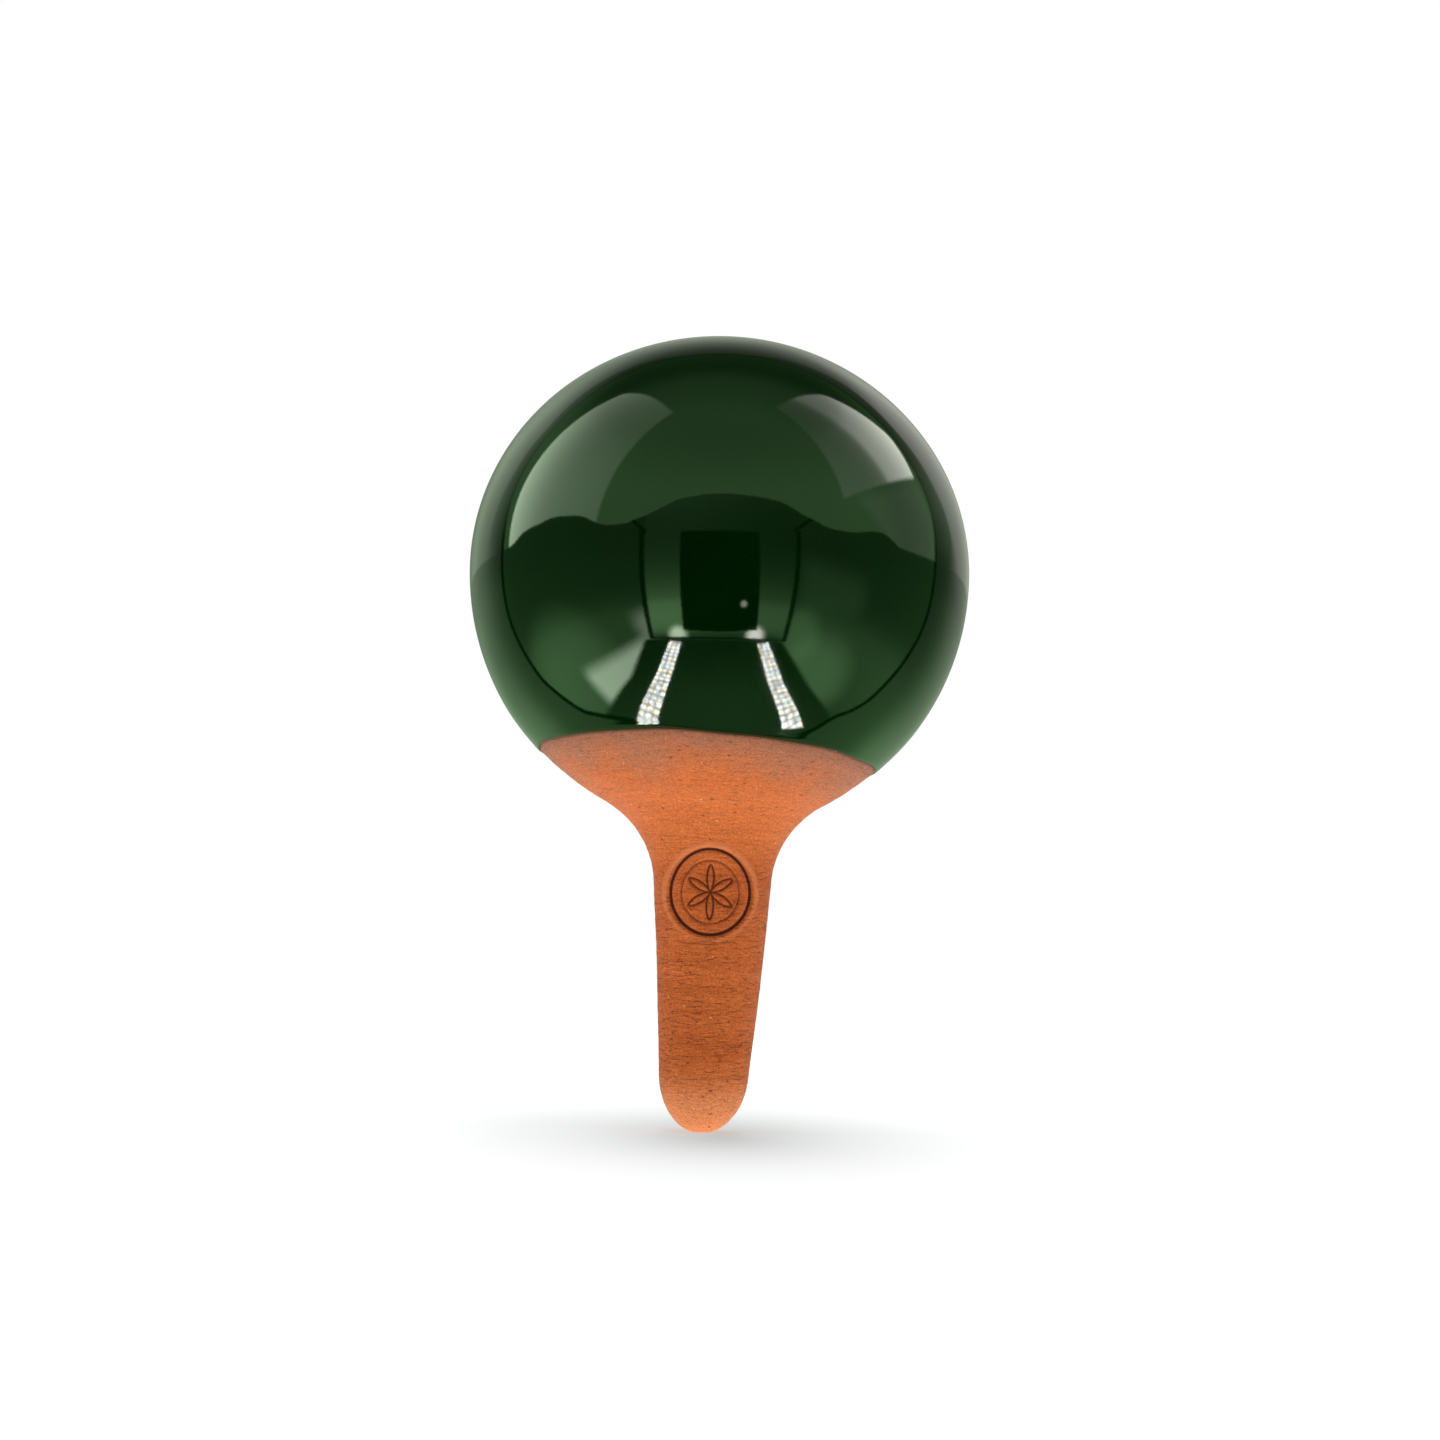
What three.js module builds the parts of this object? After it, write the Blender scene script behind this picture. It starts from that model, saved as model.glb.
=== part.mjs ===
// Irrigation olla: a glazed clay globe that holds water, on a bare clay spike that seeps it into the soil.
// Millimetres, +Z up, with the origin on the axis at the soil line.
import * as THREE from "three";

// Globe, in bare clay
const GLOBE_RADIUS = 49.5;
const CROWN_HEIGHT = 46.9;
const BOWL_RADIUS = 51.9;
const SOIL_DROP = 36;
const WALL = 5;

// Spike, with drops measured from the globe's equator
const SHOULDER_FILLET = 19.4;
const SPIKE_ROOT_RADIUS = 11.7;
const SPIKE_ROOT_DROP = 62;
const SPIKE_END_RADIUS = 8.9;
const SPIKE_END_DROP = 99.8;
const NOSE_LENGTH = 10.7;
const TIP_FLAT_RADIUS = 2;
const TIP_THICKNESS = 8;

// Filler mouth in the crown
const MOUTH_RADIUS = 7.5;
const MOUTH_CHAMFER = 0.5;
const RIM_WIDTH = 3.5;
const RIM_STAND = 0.1;
const RIM_ROUND = 0.3;
const SEAT_TAPER = 0.06;
const LIP_DROP = 4;
const LIP_ROUND = 1.5;
const LIP_SPREAD = 8.5;

// Glaze, dipped up to the soil line and wiped off the rim
const GLAZE_THICKNESS = 0.4;
const GLAZE_GAP = 0.1;
const RIM_WIPE = 0.6;

// Cork, pushed in just below the rim so that the olla can also stand on its crown
const CORK_LENGTH = 14;
const CORK_SINK = 0.4;
const CORK_CLEARANCE = 0.25;
const CORK_CHAMFER = 0.8;

// Facets around the axis, and steps along each curve of the outline
const SEGMENTS = 48;
const DOME_STEPS = 12;
const BOWL_STEPS = 9;
const FILLET_STEPS = 6;
const NOSE_STEPS = 6;
const BORE_END_STEPS = 4;
const EDGE_STEPS = 3;

const CLAY_COLOUR = 0xc87449;
const GLAZE_COLOUR = 0x273f25;
const CORK_COLOUR = 0xb98a5a;

const EQUATOR = new THREE.Vector2(0, SOIL_DROP);
const BOWL_CENTRE = new THREE.Vector2(GLOBE_RADIUS - BOWL_RADIUS, SOIL_DROP);
const SPIKE_ROOT = new THREE.Vector2(SPIKE_ROOT_RADIUS, SOIL_DROP - SPIKE_ROOT_DROP);
const SPIKE_END = new THREE.Vector2(SPIKE_END_RADIUS, SOIL_DROP - SPIKE_END_DROP);
const SPIKE_DOWN = SPIKE_END.clone().sub(SPIKE_ROOT).normalize();
const SPIKE_OUT = new THREE.Vector2(-SPIKE_DOWN.y, SPIKE_DOWN.x);
const SPIKE_SLOPE = SPIKE_DOWN.x / SPIKE_DOWN.y;

// Points on an arc of an ellipse, as (radius, height), from one angle to another.
function arc(centre, radius, height, from, to, steps) {
  return Array.from({ length: steps + 1 }, (_, i) => {
    const angle = from + ((to - from) * i) / steps;
    return new THREE.Vector2(centre.x + radius * Math.cos(angle), centre.y + height * Math.sin(angle));
  });
}

// Keeps the stretch of a path where side(point) is positive, cut at the crossing.
function clip(path, side) {
  return path.flatMap((point, i) => {
    const before = path[i - 1];
    const kept = side(point) > 0 ? [point] : [];
    if (before === undefined || side(before) > 0 === side(point) > 0) {
      return kept;
    }
    const share = side(before) / (side(before) - side(point));
    const crossing = before.clone().lerp(point, share);
    return side(point) > 0 ? [crossing, point] : [crossing];
  });
}

// Side of a cut that takes off the crown within a radius, and leaves all below the equator.
function outsideCrown(radius) {
  return (point) => Math.max(point.x - radius, EQUATOR.y - point.y);
}

// Half outline from the spike's end up over the crown, moved inwards from the clay's outer face by inset.
function outline(inset) {
  const offset = SPIKE_OUT.clone().multiplyScalar(-inset);
  const root = SPIKE_ROOT.clone().add(offset);
  const end = SPIKE_END.clone().add(offset);
  const bowl = BOWL_RADIUS - inset;
  const fillet = SHOULDER_FILLET + inset;

  // The fillet's centre lies one fillet radius off the spike's side and off the bowl.
  const reach = root.clone().addScaledVector(SPIKE_OUT, fillet).sub(BOWL_CENTRE);
  const along = reach.dot(SPIKE_DOWN);
  const drop = Math.sqrt(along ** 2 - reach.lengthSq() + (bowl + fillet) ** 2) - along;
  const centre = root.clone().addScaledVector(SPIKE_DOWN, drop).addScaledVector(SPIKE_OUT, fillet);
  const toSpike = SPIKE_OUT.angle() - Math.PI;
  const toBowl = BOWL_CENTRE.clone().sub(centre).angle();

  return [
    end,
    ...arc(centre, fillet, fillet, toSpike, toBowl, FILLET_STEPS),
    ...arc(BOWL_CENTRE, bowl, bowl, toBowl - Math.PI, 0, BOWL_STEPS).slice(1),
    ...arc(EQUATOR, GLOBE_RADIUS - inset, CROWN_HEIGHT - inset, 0, Math.PI / 2, DOME_STEPS).slice(1),
  ];
}

// Rounded nose from the spike's side to its flat tip, tangent to the side.
function nose() {
  const start = Math.atan((SPIKE_SLOPE * NOSE_LENGTH) / SPIKE_END_RADIUS);
  const radius = SPIKE_END_RADIUS / Math.cos(start);
  const finish = Math.acos(TIP_FLAT_RADIUS / radius);
  const height = NOSE_LENGTH / (Math.sin(finish) - Math.sin(start));
  const centre = new THREE.Vector2(0, SPIKE_END.y + height * Math.sin(start));
  return arc(centre, radius, height, -start, -finish, NOSE_STEPS);
}

// Round blind end of the spike's bore.
function boreEnd() {
  const floor = SPIKE_END.y - NOSE_LENGTH + TIP_THICKNESS;
  const side = SPIKE_END.clone().addScaledVector(SPIKE_OUT, -WALL);
  const radius = (side.x + SPIKE_SLOPE * (floor - side.y)) / (1 - SPIKE_SLOPE);
  return arc(new THREE.Vector2(0, floor + radius), radius, radius, -Math.PI / 2, 0, BORE_END_STEPS);
}

function revolve(name, path, colour) {
  const geometry = new THREE.LatheGeometry(path, SEGMENTS).rotateX(Math.PI / 2);
  const mesh = new THREE.Mesh(geometry, new THREE.MeshStandardMaterial({ color: colour }));
  mesh.name = name;
  return mesh;
}

const clay = outline(0);
const reservoir = outline(WALL);
const rimRadius = MOUTH_RADIUS + RIM_WIDTH;
const aboveSoil = (point) => point.y;
const glazed = (inset) => clip(clip(outline(inset), outsideCrown(rimRadius + RIM_WIPE)), aboveSoil);
const glazeInside = glazed(-GLAZE_GAP);
const glazeOutside = glazed(-GLAZE_GAP - GLAZE_THICKNESS);
const rimHeight = glazeOutside.at(-1).y + RIM_STAND;
const ceiling = clip(reservoir, outsideCrown(MOUTH_RADIUS)).at(-1).y;
const lipHeight = ceiling - LIP_DROP;
const seatRadius = (height) => MOUTH_RADIUS - SEAT_TAPER * (rimHeight - height);

function clayBody() {
  const skin = clip(clay, outsideCrown(rimRadius));
  const rimEdge = new THREE.Vector2(rimRadius - RIM_ROUND, rimHeight - RIM_ROUND);
  const chamferFoot = rimHeight - MOUTH_CHAMFER;
  const lipRadius = seatRadius(lipHeight + LIP_ROUND);
  const lipEdge = new THREE.Vector2(lipRadius + LIP_ROUND, lipHeight + LIP_ROUND);
  const bore = boreEnd();
  const aboveBoreEnd = (point) => point.y - bore.at(-1).y;
  const hollow = clip(clip(reservoir, outsideCrown(MOUTH_RADIUS + LIP_SPREAD)), aboveBoreEnd);
  return revolve("clay_body", [
    new THREE.Vector2(0, SPIKE_END.y - NOSE_LENGTH),
    ...nose().toReversed(),
    ...skin.slice(1),
    ...arc(rimEdge, RIM_ROUND, RIM_ROUND, 0, Math.PI / 2, EDGE_STEPS),
    new THREE.Vector2(MOUTH_RADIUS + MOUTH_CHAMFER, rimHeight),
    new THREE.Vector2(seatRadius(chamferFoot), chamferFoot),
    ...arc(lipEdge, LIP_ROUND, LIP_ROUND, -Math.PI, -Math.PI / 2, EDGE_STEPS),
    ...hollow.toReversed(),
    ...bore.toReversed().slice(1),
  ], CLAY_COLOUR);
}

function glazeCoat() {
  return revolve("glaze_coat", [
    ...glazeOutside,
    ...glazeInside.toReversed(),
    glazeOutside[0].clone(),
  ], GLAZE_COLOUR);
}

function corkStopper() {
  const top = rimHeight - CORK_SINK;
  const bottom = top - CORK_LENGTH;
  const side = (height) => seatRadius(height) - CORK_CLEARANCE;
  return revolve("cork_stopper", [
    new THREE.Vector2(0, bottom),
    new THREE.Vector2(side(bottom) - CORK_CHAMFER, bottom),
    new THREE.Vector2(side(bottom + CORK_CHAMFER), bottom + CORK_CHAMFER),
    new THREE.Vector2(side(top - CORK_CHAMFER), top - CORK_CHAMFER),
    new THREE.Vector2(side(top) - CORK_CHAMFER, top),
    new THREE.Vector2(0, top),
  ], CORK_COLOUR);
}

const olla = new THREE.Group();
olla.name = "irrigation_olla";
olla.add(clayBody(), glazeCoat(), corkStopper());

export default olla;
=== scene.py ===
"""Irrigation olla: a clay body with a pressed mark, a dipped green glaze and a cork in the filler mouth."""
import math

import bpy
import numpy as np
from mathutils import Matrix, Vector, noise


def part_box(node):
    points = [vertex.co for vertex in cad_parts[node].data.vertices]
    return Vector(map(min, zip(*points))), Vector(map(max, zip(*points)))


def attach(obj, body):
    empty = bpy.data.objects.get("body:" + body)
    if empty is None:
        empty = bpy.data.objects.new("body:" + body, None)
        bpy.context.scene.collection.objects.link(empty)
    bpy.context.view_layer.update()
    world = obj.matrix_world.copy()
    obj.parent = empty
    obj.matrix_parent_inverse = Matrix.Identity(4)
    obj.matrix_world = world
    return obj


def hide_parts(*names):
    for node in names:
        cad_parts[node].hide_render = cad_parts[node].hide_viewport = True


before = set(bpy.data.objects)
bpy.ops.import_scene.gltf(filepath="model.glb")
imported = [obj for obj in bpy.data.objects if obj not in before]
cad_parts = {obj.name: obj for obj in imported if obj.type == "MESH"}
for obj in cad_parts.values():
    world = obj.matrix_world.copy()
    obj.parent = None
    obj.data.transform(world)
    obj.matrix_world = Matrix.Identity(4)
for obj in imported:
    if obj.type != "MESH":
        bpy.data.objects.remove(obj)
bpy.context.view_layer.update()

MM = 0.001
FRONT = -math.pi / 2

# Outline of the clay, in millimetres as in the part's own source
EQUATOR = 36.0
GLOBE_RADIUS = 49.5
CROWN_HEIGHT = 46.9
BOWL_RADIUS = 51.9
WALL = 5.0
SHOULDER_FILLET = 19.4
SPIKE_ROOT = np.array((11.7, -26.0))
SPIKE_END = np.array((8.9, -63.8))
NOSE_LENGTH = 10.7
TIP_FLAT_RADIUS = 2.0
TIP_THICKNESS = 8.0
MOUTH_RADIUS = 7.5
MOUTH_CHAMFER = 0.5
RIM_RADIUS = 11.0
RIM_ROUND = 0.3
SEAT_TAPER = 0.06
LIP_HEIGHT = 73.3
LIP_ROUND = 1.5
LIP_RADIUS = 16.0
GLAZE_TOP_RADIUS = 11.6
CORK_LENGTH = 14.0
CORK_SINK = 0.4
CORK_CLEARANCE = 0.25
CORK_CHAMFER = 0.8

RIM_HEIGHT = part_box("clay_body")[1].z / MM
TIP_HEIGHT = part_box("clay_body")[0].z / MM
BOWL_CENTRE = np.array((GLOBE_RADIUS - BOWL_RADIUS, EQUATOR))
SPIKE_DOWN = (SPIKE_END - SPIKE_ROOT) / np.linalg.norm(SPIKE_END - SPIKE_ROOT)
SPIKE_OUT = np.array((-SPIKE_DOWN[1], SPIKE_DOWN[0]))
SPIKE_SLOPE = SPIKE_DOWN[0] / SPIKE_DOWN[1]

# The glaze's lower edge is a plane that dips to the right and to the back, lower at both sides, with small
# waves on it: height, number round the edge and phase
EDGE_HEIGHT = -0.84
EDGE_SLOPE_X = -0.0388
EDGE_SLOPE_Y = -0.0424
EDGE_RADIUS = 35.0
EDGE_SAG = 0.75
EDGE_WAVES = ((0.14, 3, 0.8), (0.09, 7, 2.1), (0.05, 13, 0.0))

# The glaze's thickness, which is less towards its edges, with a bead along the lower one and a faint ripple
GLAZE_GAP = 0.03
GLAZE_THICKNESS = 0.43
GLAZE_ROUND = 0.6
GLAZE_THIN_SHARE = 0.55
GLAZE_THIN = (0.3, 12)
BEAD_HEIGHT = 0.02
BEAD_AT = 1.1
BEAD_WIDTH = 0.6
RIPPLE_HEIGHT = 0.03
RIPPLE_SCALE = (0.045, 0.045, 0.06)
RIPPLE_SEED = 5

# Pressed mark on the front of the spike: a ring with a raised lip round a rosette in a finer ring
MARK_OFFSET = -0.35
MARK_HEIGHT = -28.0
MARK_HALF_WIDTH = 7.95
MARK_HALF_HEIGHT = 8.2
MARK_SCALE = 8.1
MARK_FACING = (0.3, 0.5)
RING_WIDTH = 0.34
RING_DEPTH = 0.62
FIELD_EDGE = (-0.1, 0.7)
FIELD_DEPTH = 0.2
RAISED_AT = 1.0
RAISED_WIDTH = 0.55
RAISED_HEIGHT = 0.28
RAISED_LOW_SHARE = 0.45
RAISED_REACH = 8
ROSETTE_RADIUS = 5.4
PETALS = 6
PETAL_TURN = math.radians(30)
PETAL_WIDTH = 0.27
PETAL_END = (-0.15, 0.25)
FINE_RING_AT = 0.55
FINE_RING_WIDTH = 0.22
FINE_RING_SHARE = 0.8
DRAWING_DEPTH = 0.55
DRAWING_SHADE = 0.66

# Hand marks on the bare clay, each with height, scale along each axis and seed, and the spike's bend
HAND_MARKS = ((0.05, (0.03, 0.03, 0.75), 3), (0.03, (0.05, 0.05, 1.4), 11), (0.13, (0.06, 0.06, 0.07), 23))
HAND_SINK = 0.08
HAND_FADE_TO_GLAZE = (-1.2, -0.3)
HAND_FADE_TO_TIP = 3
SEED_SPREAD = (1.0, 1.7, -0.6)
BEND = 0.5
BEND_HALF_WAVE = 0.85
BEND_FADE = 0.25

# Pores and grain of the cork
PORE_SCALE = (1.1, 0.45, 1.2)
PORE_SEED = 31
PORE_EDGE = (0.24, 0.5)
PORE_DEPTH = 0.28
GRAIN_SCALE = (1.4, 1.4, 1.4)
GRAIN_SEED = 41
GRAIN_DEPTH = 0.1
CORK_POLE_SINK = 0.05

# Fineness of the meshes: rows by spacing or number, columns by number
FINE_STEP = 0.05
ROUND_POINTS = 12
BORE_END_POINTS = 40
MARK_SPACING = 0.22
MARK_REACH = 10.5
BARE_SPACING = 0.5
COVERED_SPACING = 3.0
COVERED_FROM = 3
INSIDE_SPACING = 4.0
CROWN_FROM = 72
CROWN_REACH = 14
MARK_COLUMNS = 160
MARK_HALF_TURN = math.radians(62)
REST_COLUMNS = 96
GLAZE_FROM = -8
GLAZE_STEP = 0.1
GLAZE_COLUMNS = 256
GLAZE_LOW_SHARE = 0.02
GLAZE_LOW_ROWS = 20
GLAZE_ROWS = 200
GLAZE_TOP_SHARE = 0.985
GLAZE_TOP_ROWS = 14
GLAZE_INNER_ROWS = 42
CORK_SPACING = 0.28
CORK_COLUMNS = 144

# Distance from the glaze's edge, for the clay's material: steeper on the rim, and a far value inside
RIM_FADE = 3.0
NO_GLAZE = -100


def smooth(value, low, high):
    """Smooth step from 0 at low to 1 at high."""
    share = np.clip((value - low) / (high - low), 0, 1)
    return share * share * (3 - 2 * share)


def bell(value, width):
    """Smooth peak of 1 where the value is 0."""
    return np.exp(-((value / width) ** 2))


def arc(centre, radius, height, start, end, count=200):
    """Points on an arc of an ellipse, as (radius, height)."""
    angles = np.linspace(start, end, count)
    return np.column_stack((centre[0] + radius * np.cos(angles), centre[1] + height * np.sin(angles)))


def shoulder_and_globe(inset, top_radius):
    """Half outline from the spike's end up to a radius on the crown, moved inwards by inset."""
    root = SPIKE_ROOT - inset * SPIKE_OUT
    bowl = BOWL_RADIUS - inset
    fillet = SHOULDER_FILLET + inset
    reach = root + fillet * SPIKE_OUT - BOWL_CENTRE
    along = reach @ SPIKE_DOWN
    drop = math.sqrt(along**2 - reach @ reach + (bowl + fillet) ** 2) - along
    centre = root + drop * SPIKE_DOWN + fillet * SPIKE_OUT
    to_spike = math.pi + math.atan2(SPIKE_OUT[1], SPIKE_OUT[0])
    to_bowl = math.atan2(BOWL_CENTRE[1] - centre[1], BOWL_CENTRE[0] - centre[0])
    globe = GLOBE_RADIUS - inset
    return np.vstack((
        [SPIKE_END - inset * SPIKE_OUT],
        arc(centre, fillet, fillet, to_spike, to_bowl),
        arc(BOWL_CENTRE, bowl, bowl, to_bowl - math.pi, 0)[1:],
        arc((0, EQUATOR), globe, CROWN_HEIGHT - inset, 0, math.acos(top_radius / globe))[1:],
    ))


def nose():
    """Rounded nose, from the flat tip to the spike's side."""
    start = math.atan(SPIKE_SLOPE * NOSE_LENGTH / SPIKE_END[0])
    radius = SPIKE_END[0] / math.cos(start)
    finish = math.acos(TIP_FLAT_RADIUS / radius)
    height = NOSE_LENGTH / (math.sin(finish) - math.sin(start))
    return arc((0, SPIKE_END[1] + height * math.sin(start)), radius, height, -finish, -start)


def bore_end():
    """Round blind end of the spike's bore, from the axis to its side."""
    floor = TIP_HEIGHT + TIP_THICKNESS
    side = SPIKE_END - WALL * SPIKE_OUT
    radius = (side[0] + SPIKE_SLOPE * (floor - side[1])) / (1 - SPIKE_SLOPE)
    return arc((0, floor + radius), radius, radius, -math.pi / 2, 0, BORE_END_POINTS)


def seat_radius(height):
    """Radius of the cork's seat in the mouth."""
    return MOUTH_RADIUS - SEAT_TAPER * (RIM_HEIGHT - height)


def even(spacing):
    """The same spacing all along a path."""
    return lambda path: np.full(len(path), spacing)


def resample(path, spacing):
    """Points along a path, with the spacing that a function gives at its radii and heights."""
    steps = np.linalg.norm(np.diff(path, axis=0), axis=1)
    length = np.concatenate(([0], np.cumsum(steps)))
    fine_at = np.linspace(0, length[-1], int(length[-1] / FINE_STEP))
    fine = np.column_stack([np.interp(fine_at, length, path[:, axis]) for axis in (0, 1)])
    pace = np.concatenate(([0], np.cumsum(FINE_STEP / spacing(fine)[1:])))
    at = np.linspace(0, pace[-1], int(round(pace[-1])) + 1)
    return np.column_stack([np.interp(at, pace, fine[:, axis]) for axis in (0, 1)])


def normals_of(path):
    """Unit normals to the right of a path, which is outwards for one that climbs on the outside."""
    along = np.gradient(path, axis=0)
    along /= np.linalg.norm(along, axis=1)[:, None]
    return np.column_stack((along[:, 1], -along[:, 0]))


def spun(base, normal, offset, angles):
    """Rows of points round the axis, from an outline moved along its normals."""
    radius = base[..., 0] + normal[..., 0] * offset
    height = base[..., 1] + normal[..., 1] * offset
    return np.stack((radius * np.cos(angles), radius * np.sin(angles), height), axis=-1)


def capped(values, first, last):
    """Values at rows of points, with one for a pole before the first row and one after the last."""
    return np.concatenate(([first], values.reshape(-1, *np.shape(first)), [last]))


def mesh_object(name, points, faces, body, node, surface):
    """Smooth mesh piece that stands for a CAD node, from points in millimetres."""
    mesh = bpy.data.meshes.new(name)
    mesh.from_pydata((np.asarray(points) * MM).tolist(), [], faces)
    mesh.update()
    mesh.shade_smooth()
    mesh.materials.append(surface)
    piece = bpy.data.objects.new(name, mesh)
    bpy.context.collection.objects.link(piece)
    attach(piece, body)
    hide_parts(node)
    return piece


def set_attribute(piece, name, values):
    """Value at each point of a piece, for its material to read."""
    attribute = piece.data.attributes.new(name, "FLOAT", "POINT")
    attribute.data.foreach_set("value", np.ravel(values).astype(np.float32))


def grid_faces(rows, columns, first=0, wrap=False):
    """Quads over rows of points round the axis, and back to the first row if the rows wrap."""
    faces = []
    for row in range(rows if wrap else rows - 1):
        here = first + row * columns
        above = first + (row + 1) % rows * columns
        for column in range(columns):
            after = (column + 1) % columns
            faces.append((here + column, here + after, above + after, above + column))
    return faces


def capped_faces(rows, columns):
    """Quads over rows of points, with a fan to a pole before the first row and after the last."""
    last = 1 + (rows - 1) * columns
    faces = grid_faces(rows, columns, first=1)
    for column in range(columns):
        after = (column + 1) % columns
        faces.append((0, 1 + after, 1 + column))
        faces.append((last + column, last + after, 1 + rows * columns))
    return faces


def glaze_edge(angles):
    """Height of the glaze's lower edge at angles round the axis."""
    slope = EDGE_SLOPE_X * np.cos(angles) + EDGE_SLOPE_Y * np.sin(angles)
    waves = sum(height * np.sin(count * angles + phase) for height, count, phase in EDGE_WAVES)
    return EDGE_HEIGHT + EDGE_RADIUS * slope + waves - EDGE_SAG * np.cos(angles) ** 2


def wobble(x, y, z, scale, seed):
    """Smooth noise between about -1 and 1 at arrays of points, with a scale for each axis."""
    scaled = np.broadcast_arrays(x * scale[0], y * scale[1], z * scale[2])
    offset = Vector([seed * share for share in SEED_SPREAD])
    values = [noise.noise(Vector(point) + offset) for point in np.stack(scaled, axis=-1).reshape(-1, 3)]
    return np.array(values).reshape(scaled[0].shape)


def bend(height):
    """Sideways bend of the spike, as the hand left it."""
    share = np.clip(height / TIP_HEIGHT, 0, 1)
    return BEND * np.sin(math.pi * share / BEND_HALF_WAVE) * smooth(share, 0, BEND_FADE)


def rosette(along, rise):
    """Grooves of a rosette, drawn by arcs about points on its circle, and of the ring round it."""
    from_circle = np.hypot(along, rise) - ROSETTE_RADIUS
    petals = np.zeros_like(along)
    for turn in range(PETALS):
        angle = 2 * math.pi * turn / PETALS + PETAL_TURN
        centre = ROSETTE_RADIUS * math.cos(angle), ROSETTE_RADIUS * math.sin(angle)
        off_arc = np.hypot(along - centre[0], rise - centre[1]) - ROSETTE_RADIUS
        petals = np.maximum(petals, bell(off_arc, PETAL_WIDTH))
    petals *= smooth(-from_circle, *PETAL_END)
    return np.maximum(petals, FINE_RING_SHARE * bell(from_circle - FINE_RING_AT, FINE_RING_WIDTH))


def mark_depth(across, up):
    """Depth of the pressed mark, and its painted light: 1 for painted shade in a groove, below 0 for a
    painted highlight on the raised lip.
    """
    from_ring = (np.hypot(across / MARK_HALF_WIDTH, up / MARK_HALF_HEIGHT) - 1) * MARK_SCALE
    ring = bell(from_ring, RING_WIDTH)
    field = smooth(-from_ring, *FIELD_EDGE)
    fullness = RAISED_LOW_SHARE + (1 - RAISED_LOW_SHARE) * smooth(up, -RAISED_REACH, RAISED_REACH)
    raised = bell(from_ring - RAISED_AT, RAISED_WIDTH) * fullness
    drawing = rosette(across * MARK_SCALE / MARK_HALF_WIDTH, up * MARK_SCALE / MARK_HALF_HEIGHT)
    depth = RING_DEPTH * ring + FIELD_DEPTH * field + DRAWING_DEPTH * drawing - RAISED_HEIGHT * raised
    return depth, np.maximum(ring, DRAWING_SHADE * drawing) - raised * (1 - ring)


def clay_spacing(path):
    """Row spacing: finest on the mark, fine on bare clay and the rim, wide inside and under the glaze."""
    radius, height = path.T
    inside = np.arange(len(path)) > np.argmax(height)
    spacing = np.where(np.abs(height - MARK_HEIGHT) < MARK_REACH, MARK_SPACING, BARE_SPACING)
    spacing = np.where(height > COVERED_FROM, COVERED_SPACING, spacing)
    spacing = np.where(inside, INSIDE_SPACING, spacing)
    return np.where((height > CROWN_FROM) & (radius < CROWN_REACH), BARE_SPACING, spacing)


def clay_path():
    """Half outline of the clay: from the tip up the outside, over the rim and down to the bore's end."""
    rim_edge = (RIM_RADIUS - RIM_ROUND, RIM_HEIGHT - RIM_ROUND)
    chamfer_foot = RIM_HEIGHT - MOUTH_CHAMFER
    lip_edge = (seat_radius(LIP_HEIGHT + LIP_ROUND) + LIP_ROUND, LIP_HEIGHT + LIP_ROUND)
    end = bore_end()
    hollow = shoulder_and_globe(WALL, LIP_RADIUS)
    return np.vstack((
        [(0, TIP_HEIGHT)],
        nose(),
        shoulder_and_globe(0, RIM_RADIUS)[1:],
        arc(rim_edge, RIM_ROUND, RIM_ROUND, 0, math.pi / 2, ROUND_POINTS),
        [(MOUTH_RADIUS + MOUTH_CHAMFER, RIM_HEIGHT)],
        [(seat_radius(chamfer_foot), chamfer_foot)],
        arc(lip_edge, LIP_ROUND, LIP_ROUND, -math.pi, -math.pi / 2, ROUND_POINTS),
        hollow[::-1][: np.argmax(hollow[::-1, 1] < end[-1, 1]) or None],
        end[::-1],
    ))


def clay_columns():
    """Angles round the axis, closer together across the pressed mark."""
    first, last = FRONT - MARK_HALF_TURN, FRONT + MARK_HALF_TURN
    front = np.linspace(first, last, MARK_COLUMNS, endpoint=False)
    rest = np.linspace(last, first + 2 * math.pi, REST_COLUMNS, endpoint=False)
    return np.concatenate((front, rest))


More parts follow.
